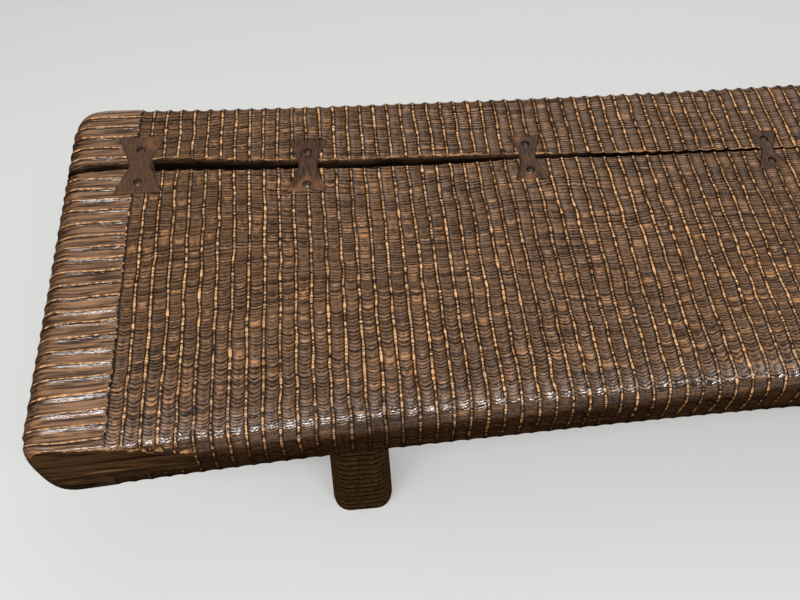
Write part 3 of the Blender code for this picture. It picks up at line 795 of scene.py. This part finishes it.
def make_leg(corner, finish):
    """A leg gouged round with level flutes, its tenon spread by a wedge."""
    low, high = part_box(f"leg_{corner}")
    wedge_low, wedge_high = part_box(f"tenon_wedge_{corner}")
    seed = 60 + LEG_CORNERS.index(corner)
    foot = leg_foot_width()
    shoulder = SLAB_UNDER - BORE_GAP
    rings = round(shoulder / LEG_FLUTE_PITCH)
    bm = bmesh.new()
    ring = rounded_ring(bm, foot, foot, LEG_CORNER_RADIUS, (6, 6), (5, 5, 5))
    sweep_ring(bm, ring, 2, shoulder / rings, rings)

    x, y, z = points_of(bm).T
    step = np.rint(z / shoulder * rings * len(FLUTE_RINGS)).astype(int)
    flute, cut = np.divmod(step, len(FLUTE_RINGS))
    place = flute + FLUTE_RINGS[cut]
    turn = np.arctan2(y, x)
    core = foot / 2 - LEG_CORNER_RADIUS
    side_x = (x - np.clip(x, -core, core)) / LEG_CORNER_RADIUS
    side_y = (y - np.clip(y, -core, core)) / LEG_CORNER_RADIUS
    plain_z = place / rings * shoulder
    ends = np.clip(np.minimum(plain_z, shoulder - plain_z) / LEG_TRUE_ENDS, 0, 1)
    new_z = plain_z + ends * (
        0.0012 * ripple(plain_z / 0.05, 1.3 * np.cos(turn) + 9, seed)
        + 0.0007 * ripple(plain_z / 0.02, 2.1 * np.sin(turn) + 5, seed + 7))
    strokes = 1 + 0.2 * ripple(flute * 3.3, 2.4 * np.cos(turn) + 3 * np.sin(turn), seed + 14)
    depth = LEG_FLUTE_DEPTH * strokes * gouge(place) + np.where(cut == 0, LEG_RIDGE_WEAR, 0)
    rounding = np.clip(FOOT_ROUND - plain_z, 0, None)
    depth = depth + FOOT_ROUND - np.sqrt(FOOT_ROUND ** 2 - rounding ** 2)
    taper = 1 + (LEG_TOP_WIDTH / foot - 1) * plain_z / shoulder
    move_points(bm, np.stack((x * taper - depth * side_x, y * taper - depth * side_y, new_z), 1))
    bmesh.ops.contextual_create(bm, geom=rim(bm, 2, 0.0))

    edges, verts = extrude_rim(bm, rim(bm, 2, shoulder), (0, 0, 0))
    neck = TENON_WIDTH / LEG_TOP_WIDTH
    bmesh.ops.scale(bm, verts=verts, vec=(neck, neck, 1))
    edges, verts = extrude_rim(bm, edges, (0, 0, high.z - shoulder))
    bmesh.ops.scale(bm, verts=verts, vec=(1 + 2 * TENON_SPREAD / TENON_WIDTH, 1, 1))
    bmesh.ops.contextual_create(bm, geom=edges)
    middle = (low + high) / 2
    bmesh.ops.translate(bm, verts=bm.verts, vec=(middle.x, middle.y, 0))

    kerf = split_box(0, 0, 0)
    for vert in kerf.verts:
        half = (wedge_high.x - wedge_low.x) / 2 if vert.co.z > 0.5 else KERF_FOOT
        vert.co.x = middle.x + (2 * vert.co.x - 1) * (half + BORE_GAP)
        vert.co.y = middle.y + (2 * vert.co.y - 1) * TENON_WIDTH
        vert.co.z = wedge_low.z - BORE_GAP + vert.co.z * (wedge_high.z - wedge_low.z + 2 * BORE_GAP)
    mesh = cut_out(mesh_from(bm, "leg"), [mesh_from(kerf, "kerf")])
    mark_leg(mesh, middle, shoulder, rings)
    add_piece(f"ringed_leg_{corner}", mesh, finish, f"leg_{corner}")


def mark_leg(mesh, middle, shoulder, rings):
    """Lay the gouge map on a leg: up the leg in flutes, and round it."""
    points, corners = read_mesh(mesh)
    x, y, z = points.T
    turn = np.arctan2(y - middle.y, x - middle.x)
    around = np.abs(turn) * leg_foot_width() / 2 / LEG_FLUTE_PITCH
    lay_gouge_map(mesh, z[corners] / shoulder * rings, around[corners])


# Finishes

class Finish:
    """A node material under construction."""

    def __init__(self, name, roughness, coat, coat_roughness, gloss=0.12, coat_index=1.5):
        self.material = bpy.data.materials.new(name)
        self.material.use_nodes = True
        self.nodes = self.material.node_tree.nodes
        self.links = self.material.node_tree.links
        self.shader = self.nodes["Principled BSDF"]
        self.put("Roughness", roughness)
        self.put("Coat Weight", coat)
        self.put("Coat Roughness", coat_roughness)
        self.put("Coat IOR", coat_index)
        self.put("Specular IOR Level", gloss)

    def set(self, socket, value):
        """Link a socket to an output, or give it a plain value."""
        if isinstance(value, bpy.types.NodeSocket):
            self.links.new(value, socket)
        elif isinstance(value, tuple) and len(value) == 3 and socket.type == 'RGBA':
            socket.default_value = (*value, 1.0)
        else:
            socket.default_value = value

    def put(self, name, value):
        """Set an input of the shader."""
        self.set(self.shader.inputs[name], value)

    def math(self, operation, first, second=0.0):
        node = self.nodes.new('ShaderNodeMath')
        node.operation = operation
        self.set(node.inputs[0], first)
        self.set(node.inputs[1], second)
        return node.outputs[0]

    def most(self, first, second):
        return self.math('MAXIMUM', first, second)

    def times(self, first, second):
        return self.math('MULTIPLY', first, second)

    def plus(self, first, second):
        return self.math('ADD', first, second)

    def minus(self, first, second):
        return self.math('SUBTRACT', first, second)

    def about(self, value, spread):
        """Centre a noise on nought and give it a spread."""
        return self.times(self.minus(value, 0.5), spread)

    def attribute(self, name):
        node = self.nodes.new('ShaderNodeAttribute')
        node.attribute_name = name
        return node.outputs

    def between(self, value, low, high, start=0.0, end=1.0):
        """Ease from start to end as a value goes from low to high."""
        node = self.nodes.new('ShaderNodeMapRange')
        node.interpolation_type = 'SMOOTHSTEP'
        for socket, item in zip(node.inputs, (value, low, high, start, end)):
            self.set(socket, item)
        return node.outputs[0]

    def mix(self, factor, first, second):
        node = self.nodes.new('ShaderNodeMix')
        node.data_type = 'RGBA'
        self.set(node.inputs[0], factor)
        self.set(node.inputs[6], first)
        self.set(node.inputs[7], second)
        return node.outputs[2]

    def vector(self, x, y, z):
        node = self.nodes.new('ShaderNodeCombineXYZ')
        for socket, value in zip(node.inputs, (x, y, z)):
            self.set(socket, value)
        return node.outputs[0]

    def noise(self, vector, detail, roughness):
        node = self.nodes.new('ShaderNodeTexNoise')
        self.set(node.inputs["Vector"], vector)
        node.inputs["Scale"].default_value = 1.0
        node.inputs["Detail"].default_value = detail
        node.inputs["Roughness"].default_value = roughness
        return node.outputs[0]

    def gouge_noise(self, across, along, third=0.0, detail=2.0, roughness=0.55):
        """Noise over the gouge map."""
        return self.noise(self.vector(across, along, third), detail, roughness)

    def wood_noise(self, scale, detail=2.0, roughness=0.5):
        """Noise over the piece itself, with so many waves a metre along each axis."""
        place = self.nodes.new('ShaderNodeTexCoord').outputs["Object"]
        node = self.nodes.new('ShaderNodeMapping')
        self.set(node.inputs["Vector"], place)
        node.inputs["Scale"].default_value = scale
        return self.noise(node.outputs[0], detail, roughness)

    def object_axes(self):
        split = self.nodes.new('ShaderNodeSeparateXYZ')
        self.set(split.inputs[0], self.nodes.new('ShaderNodeTexCoord').outputs["Object"])
        return split.outputs

    def bump(self, height, distance, coat_height=None):
        """Raise the wood by a height, and its lacquer by the same or by one of its own."""
        for socket, rise in (("Normal", height), ("Coat Normal", coat_height or height)):
            node = self.nodes.new('ShaderNodeBump')
            node.inputs["Strength"].default_value = 1.0
            node.inputs["Distance"].default_value = distance
            self.set(node.inputs["Height"], rise)
            self.put(socket, node.outputs[0])

    def gouge_place(self):
        """Way across the flutes, way along them, and distance from the nearest ridge up to 0.5."""
        uv = self.nodes.new('ShaderNodeUVMap')
        uv.uv_map = "gouge"
        split = self.nodes.new('ShaderNodeSeparateXYZ')
        self.set(split.inputs[0], uv.outputs[0])
        across, along = split.outputs[0], split.outputs[1]
        return across, along, self.math('PINGPONG', across, 0.5)


def ring_place(finish, along, from_ridge):
    """Count of growth rings along a flute, in which each ring lies as a bow."""
    between, times, plus = finish.between, finish.times, finish.plus
    bow = between(along, -END_WIDTH / 2 / FLUTE_PITCH, BOWS_BACK, FRONT_BOW, BACK_BOW)
    bow = times(bow, between(along, BOWS_TURNED, BOWS_TURN, SIDE_BOW, 1.0))
    hollow = times(times(from_ridge, 4.0), finish.minus(1.0, from_ridge))
    ring = plus(times(along, FLUTE_PITCH / RING_PITCH), times(bow, hollow))
    sway = finish.wood_noise((5.0, 9.0, 9.0))
    shiver = finish.wood_noise((150.0, 320.0, 320.0), 2.0, 0.6)
    return plus(plus(ring, finish.about(sway, RING_SWAY)), finish.about(shiver, RING_SHIVER))


def lacquered_teak():
    """Dark stained teak under gloss lacquer, worn to tan on the ridges of the gouge cuts."""
    finish = Finish("lacquered_teak", 0.45, 1.0, 0.11, 0.0, 1.75)
    between, mix, times, plus, minus = finish.between, finish.mix, finish.times, finish.plus, finish.minus
    across, along, from_ridge = finish.gouge_place()
    flute = finish.math('FLOOR', across)
    parts = finish.attribute("parts")
    split = finish.nodes.new('ShaderNodeSeparateColor')
    finish.set(split.inputs[0], parts["Color"])
    band, facet, wall = split.outputs[0], split.outputs[1], split.outputs[2]
    below = finish.attribute("underside")["Fac"]
    narrow = finish.attribute("narrow_check")["Fac"]
    hidden = finish.most(below, narrow)
    plain = finish.most(finish.most(facet, wall), hidden)
    carved = minus(1.0, plain)
    field = minus(1.0, band)
    place_x, _, height_above = finish.object_axes()
    half_length = SLAB_LENGTH / 2
    nose = between(finish.math('ABSOLUTE', place_x), half_length - 0.026, half_length - 0.008)

    # Rings across the field, long streaks on the end bands, and the chatter of the gouge
    ring = ring_place(finish, along, from_ridge)
    wave = times(finish.math('PINGPONG', ring, 0.5), 2.0)
    grain = finish.gouge_noise(times(ring, 1.15), times(across, 0.16), 3.0, 3.0, 0.6)
    front_creases = between(along, ROLL_START, ROLL_START + 8.0, 0.10, 0.0)
    creased = plus(finish.gouge_noise(times(ring, 0.45), times(across, 0.22), 9.0), front_creases)
    crease = times(between(wave, 0.08, 0.36, 1.0, 0.0), between(creased, 0.45, 0.60))
    crease = times(crease, field)
    chatter = finish.gouge_noise(times(flute, 7.31), times(along, 2.4), times(from_ridge, 2.5))
    fibres = finish.wood_noise((14.0, 420.0, 300.0), 3.0, 0.6)
    streaks = finish.gouge_noise(times(across, 5.0), times(along, 0.32), 5.0, 3.0)
    patches = finish.wood_noise((9.0, 9.0, 9.0))
    ring_lines = plus(plus(times(grain, 0.60), times(wave, 0.12)), times(chatter, 0.28))
    streak_lines = plus(plus(times(streaks, 0.9), times(fibres, 0.6)), -0.25)
    lines = mix(band, ring_lines, streak_lines)

    # Shakes along some of the rings, dark, with a painted highlight on their lower lip
    shake_place = times(ring, 1 / SHAKE_RINGS)
    open_here = times(between(finish.wood_noise((8.0, 45.0, 45.0)), 0.52, 0.58), field)
    shake = times(between(finish.math('PINGPONG', shake_place, 0.5), 0.006, 0.016, 1.0, 0.0), open_here)
    lip_place = finish.math('PINGPONG', plus(shake_place, 0.026), 0.5)
    shake_lip_highlight = times(between(lip_place, 0.004, 0.016, 1.0, 0.0), open_here)

    # Stained wood with worn spots down the middle of the flutes; the creases and the foot of each ridge
    # are darkened with painted shade, partly dark grain and stain
    tone = between(lines, 0.36, 0.65)
    field_wood = mix(tone, *STAINED_FIELD)
    band_wood = mix(tone, *STAINED_BAND)
    wood = mix(band, field_wood, band_wood)
    spots = finish.gouge_noise(times(flute, 3.17), times(along, 1.6), from_ridge)
    worn = times(between(from_ridge, 0.14, 0.38), between(spots, 0.52, 0.68))
    worn = times(times(worn, between(lines, 0.40, 0.60)), plus(field, times(band, 0.4)))
    wood = mix(worn, wood, WORN_SPOT)
    # Painted shade, with dark grain: the creases between the rings are painted near-black, more of them
    # towards the front edge
    wood = mix(times(crease, 0.88), wood, CREASE_BLACK)
    # Painted shade, partly stain: the foot of each ridge is painted near-black, on the end bands only in
    # front of the ridge
    in_front = times(between(finish.math('FRACT', across), 0.45, 0.55), between(from_ridge, 0.045, 0.080))
    ridge_foot_stain_and_shade = times(between(from_ridge, 0.10, 0.23, 1.0, 0.0), plus(field, times(band, in_front)))
    ridge_foot_stain_and_shade = times(ridge_foot_stain_and_shade, between(chatter, 0.25, 0.6, 0.6, 0.95))
    wood = mix(ridge_foot_stain_and_shade, wood, RIDGE_FOOT_STAIN_AND_SHADE)

    # Ridges rubbed through to bare teak, nibbled along their edges and broken across
    ridge_number = finish.math('ROUND', across)
    nibble = finish.gouge_noise(times(ridge_number, 9.1), times(along, 2.8), times(from_ridge, 4.0), 3.0)
    breaks = finish.gouge_noise(times(ridge_number, 4.7), times(along, 2.0), 0.5, 3.0)
    breaks = between(finish.math('ABSOLUTE', minus(breaks, 0.5)), 0.012, 0.042, 1.0, 0.0)
    half_width = plus(finish.about(nibble, 0.17), plus(0.053, times(band, -0.020)))
    ridge = between(minus(from_ridge, half_width), -0.014, 0.018, 1.0, 0.0)
    ridge = times(ridge, minus(1.0, times(breaks, plus(0.25, times(field, 0.7)))))
    ridge = times(ridge, minus(1.0, times(crease, 0.7)))
    ridge = times(ridge, between(patches, 0.30, 0.55, 0.5, 1.0))
    first_ridge = between(finish.math('PINGPONG', across, float(FIELD_FLUTES)), 0.2, 0.4, 1.0, 0.0)
    ridge = times(ridge, minus(1.0, times(times(first_ridge, field), between(chatter, 0.42, 0.56))))
    low_side = between(height_above, SLAB_TOP - 0.030, SLAB_TOP - 0.010, 1.0, 0.0)
    torn = times(finish.most(low_side, nose), between(nibble, 0.42, 0.56, 0.85, 0.0))
    run_out = between(plus(height_above, finish.about(chatter, 0.03)), SLAB_TOP - 0.060, SLAB_TOP - 0.044)
    ridge = times(times(ridge, minus(1.0, torn)), times(run_out, carved))
    bare = mix(between(nibble, 0.32, 0.66), *BARE_RIDGE)
    # Painted shade: lower down the sides the bare ridges take a darker copy of their colour
    bare = mix(low_side, bare, SHADED_BARE_SIDE)
    colour = mix(ridge, wood, bare)
    # Painted highlight on the shakes' lower lips
    colour = mix(times(shake_lip_highlight, 0.6), colour, SHAKE_LIP_HIGHLIGHT)
    colour = mix(times(shake, 0.9), colour, SHAKE_BLACK)
    # Painted shade: the wood is painted darker down the rounded edges and sides and over the rounded
    # ends, where less light falls; the ridges keep their colour
    shade = between(height_above, SLAB_TOP - 0.026, SLAB_TOP - 0.001, 0.87, 0.0)
    shade = times(finish.most(shade, times(nose, 0.65)), minus(1.0, ridge))
    colour = mix(shade, colour, mix(tone, *SHADED_SIDE))

    # The facet and underside are plain; the check shows split fibres, painted darker down its walls as
    # shade
    streak = between(fibres, 0.3, 0.75)
    plain_wood = mix(streak, *FACET_WOOD)
    long_streak = finish.wood_noise((9.0, 260.0, 260.0))
    plain_wood = mix(between(long_streak, 0.62, 0.72, 0.0, 0.7), plain_wood, FACET_STREAK)
    colour = mix(finish.most(facet, below), colour, plain_wood)
    split_wood = mix(streak, *SPLIT_WOOD)
    # Painted shade: the check's walls are painted darker downwards
    wall_shade = between(height_above, SLAB_TOP - 0.016, SLAB_TOP - 0.003, 0.96, 0.0)
    colour = mix(wall, colour, mix(wall_shade, split_wood, CHECK_WALL_SHADE))

    # Broken edges of the facet and the check rubbed through as the ridges are, and on the check's back
    # lip also a painted highlight
    chips = finish.wood_noise((130.0, 160.0, 160.0), 2.0, 0.6)
    rubbed_and_lit = between(plus(parts["Alpha"], finish.about(chips, 1.6)), 0.45, 0.80, 0.0, 0.9)
    colour = mix(rubbed_and_lit, colour, mix(between(chips, 0.4, 0.65), *BROKEN_EDGE_RUBBED_AND_LIT))
    # Painted shade: the walls of the narrow part of the check are painted black
    colour = mix(times(narrow, 0.96), colour, NARROW_CHECK_SHADE)
    finish.put("Base Color", colour)

    # Lacquer has stayed on the top and the upper part of the rounded edges
    kept = times(between(height_above, SLAB_TOP - 0.018, SLAB_TOP - 0.009), carved)
    end_roll = between(finish.math('ABSOLUTE', place_x), half_length - 0.038, half_length - 0.020)
    kept = times(kept, minus(1.0, times(end_roll, 0.95)))
    kept = times(kept, plus(band, times(field, between(along, ROLL_START, ROLL_START + 1.4, 1.0, 0.42))))
    # The lacquer is also thinned where the creases and ridge feet are painted as shade, to stand in for
    # the shade there
    dull = times(times(finish.most(crease, ridge_foot_stain_and_shade), field), 0.75)
    kept = times(kept, minus(1.0, dull))
    finish.put("Coat Weight", kept)
    roughness = plus(plus(0.40, times(fibres, 0.25)), times(plain, 0.2))
    finish.put("Roughness", roughness)
    dents = times(times(chatter, field), between(along, ROLL_START, ROLL_START + 6.0, 1.5, 0.2))
    height = plus(plus(lines, times(fibres, 0.3)), dents)
    height = minus(height, plus(times(shake, 0.8), times(crease, 0.8)))
    smooth = plus(times(lines, plus(0.45, times(band, 0.55))), dents)
    smooth = minus(smooth, plus(times(shake, 0.8), times(crease, 0.25)))
    finish.bump(mix(plain, height, fibres), 0.0007, smooth)
    return finish.material


def key_hardwood():
    """Smooth dark hardwood of the butterfly keys, its grain across the slab."""
    finish = Finish("key_hardwood", 0.45, 0.30, 0.25, 0.06)
    pores = finish.wood_noise((480.0, 70.0, 70.0), 3.0, 0.65)
    clouds = finish.wood_noise((34.0, 20.0, 20.0))
    dark = finish.mix(finish.between(pores, 0.36, 0.66), *KEY_WOOD)
    paler = finish.between(finish.object_axes()[0], -0.80, -0.74, 0.30, 0.0)
    dark = finish.mix(paler, dark, KEY_PALE)
    red = finish.mix(finish.between(clouds, 0.50, 0.62, 0.0, 0.75), dark, KEY_RED)
    finish.put("Base Color", red)
    finish.put("Roughness", finish.plus(0.38, finish.times(pores, 0.25)))
    finish.bump(pores, 0.0004)
    return finish.material


def peg_end_grain():
    """End grain of the pegs under a thick drop of lacquer."""
    finish = Finish("peg_end_grain", 0.4, 1.0, 0.12, 0.0, 1.6)
    pores = finish.wood_noise((900.0, 900.0, 40.0), 2.0, 0.6)
    finish.put("Base Color", finish.mix(pores, *PEG_WOOD))
    return finish.material


def leg_lacquer():
    """The legs' duller teak, painted darker partly for the shade under the slab, with painted shade under
    each ridge and a rubbed, partly painted highlight on their tops.
    """
    finish = Finish("leg_lacquer", 0.7, 0.0, 0.3, 0.0)
    between, mix, times, plus = finish.between, finish.mix, finish.times, finish.plus
    across, along, from_ridge = finish.gouge_place()
    fine_grain = finish.wood_noise((330.0, 330.0, 9.0), 3.0, 0.6)
    flute = finish.math('FLOOR', across)
    chatter = finish.gouge_noise(times(flute, 7.31), times(along, 2.2), times(from_ridge, 3.0))
    tone = plus(times(fine_grain, 0.45), times(chatter, 0.55))
    wood = mix(between(tone, 0.32, 0.68), *LEG_WOOD)
    # Painted shade: the upper part of each flute, under its ridge, is painted nearly black
    rise = plus(finish.math('FRACT', across), finish.about(chatter, 0.16))
    under_ridge_shade = times(between(rise, 0.44, 0.64), between(rise, 0.90, 1.0, 1.0, 0.0))
    wood = mix(times(under_ridge_shade, 0.92), wood, LEG_RIDGE_SHADE)
    # Rubbed, partly a painted highlight: patches of lighter colour on the legs' ridge tops
    rubbed_and_lit = times(between(from_ridge, 0.03, 0.12, 1.0, 0.0), between(chatter, 0.50, 0.70, 0.0, 0.5))
    finish.put("Base Color", mix(rubbed_and_lit, wood, LEG_RUBBED_AND_LIT))
    finish.bump(plus(chatter, times(fine_grain, 0.7)), 0.0005)
    return finish.material


def split_wedge_wood():
    """Raw split wood of the hidden wedges."""
    finish = Finish("split_wedge_wood", 0.7, 0.0, 0.3)
    fibres = finish.wood_noise((500.0, 500.0, 20.0), 3.0, 0.6)
    finish.put("Base Color", finish.mix(fibres, *WEDGE_WOOD))
    finish.bump(fibres, 0.0004)
    return finish.material


# Stage

def make_floor():
    finish = Finish("pale_floor", 0.9, 0.0, 0.5, 0.0)
    cloud = finish.wood_noise((0.7, 0.7, 0.7))
    finish.put("Base Color", finish.mix(cloud, *FLOOR_PALE))
    path = finish.nodes.new('ShaderNodeLightPath')
    seen = finish.most(path.outputs["Is Camera Ray"], path.outputs["Is Glossy Ray"])
    seen = finish.most(seen, path.outputs["Is Transmission Ray"])
    finish.put("Emission Color", (FLOOR_GLOW, FLOOR_GLOW, 0.985 * FLOOR_GLOW))
    finish.put("Emission Strength", seen)
    bm = bmesh.new()
    bmesh.ops.create_grid(bm, x_segments=4, y_segments=4, size=FLOOR_REACH)
    floor = link_object("floor", mesh_from(bm, "floor"))
    floor.data.materials.append(finish.material)


def add_softbox(name, place, target, size, watts):
    lamp = bpy.data.lights.new(name, 'AREA')
    lamp.shape = 'RECTANGLE'
    lamp.size, lamp.size_y = size
    lamp.energy = watts
    holder = link_object(name, lamp)
    holder.location = place
    aim = Vector(target) - Vector(place)
    holder.rotation_euler = aim.to_track_quat('-Z', 'Y').to_euler()


def light_studio():
    world = bpy.data.worlds.new("studio")
    world.use_nodes = True
    background = world.node_tree.nodes["Background"]
    background.inputs["Color"].default_value = (1.0, 0.995, 0.985, 1.0)
    background.inputs["Strength"].default_value = WORLD_LIGHT
    bpy.context.scene.world = world
    add_softbox("overhead_softbox", (0.0, 0.15, 3.0), (-0.2, 0.0, 0.4), (2.6, 1.2), 16)
    add_softbox("front_strip", (-0.55, -1.2, 2.6), (-0.4, -0.1, 0.4), (2.2, 0.20), 38)
    add_softbox("left_front_softbox", (-1.86, -1.02, 2.30), (-0.4, -0.2, 0.4), (0.9, 0.5), 13)
    add_softbox("right_front_softbox", (1.85, -0.67, 1.45), (-0.3, -0.2, 0.4), (0.9, 0.5), 6)
    add_softbox("back_softbox", (0.6, 2.0, 2.2), (-0.4, 0.0, 0.3), (1.8, 0.9), 7)
    add_softbox("left_softbox", (-2.4, 0.2, 1.5), (-0.6, 0.0, 0.4), (1.2, 1.2), 5)
    add_softbox("right_softbox", (1.8, 0.2, 1.5), (0.2, 0.0, 0.4), (1.2, 1.2), 4)


def add_camera():
    camera = bpy.data.cameras.new("camera")
    camera.lens = CAMERA_LENS
    camera.sensor_width = CAMERA_SENSOR
    holder = link_object("camera", camera)
    turn = (
        Matrix.Rotation(-CAMERA_YAW, 4, 'Z')
        @ Matrix.Rotation(math.pi / 2 - CAMERA_TILT, 4, 'X')
        @ Matrix.Rotation(CAMERA_ROLL, 4, 'Z'))
    holder.matrix_world = Matrix.Translation(CAMERA_PLACE) @ turn
    bpy.context.scene.camera = holder


bpy.context.scene.view_settings.view_transform = 'Standard'
make_slab(lacquered_teak())
hardwood = key_hardwood()
for key_number in range(1, len(KEY_SHAPES) + 1):
    make_key(key_number, hardwood)
end_grain = peg_end_grain()
for peg_node in sorted(frame["nodes"]):
    if peg_node.startswith("peg_"):
        make_peg(peg_node, end_grain)
leg_finish = leg_lacquer()
for leg_corner in LEG_CORNERS:
    make_leg(leg_corner, leg_finish)
wedge_finish = split_wedge_wood()
for leg_corner in LEG_CORNERS:
    wedge = frame["nodes"][f"tenon_wedge_{leg_corner}"]
    wedge.data.materials.clear()
    wedge.data.materials.append(wedge_finish)
make_floor()
light_studio()
add_camera()
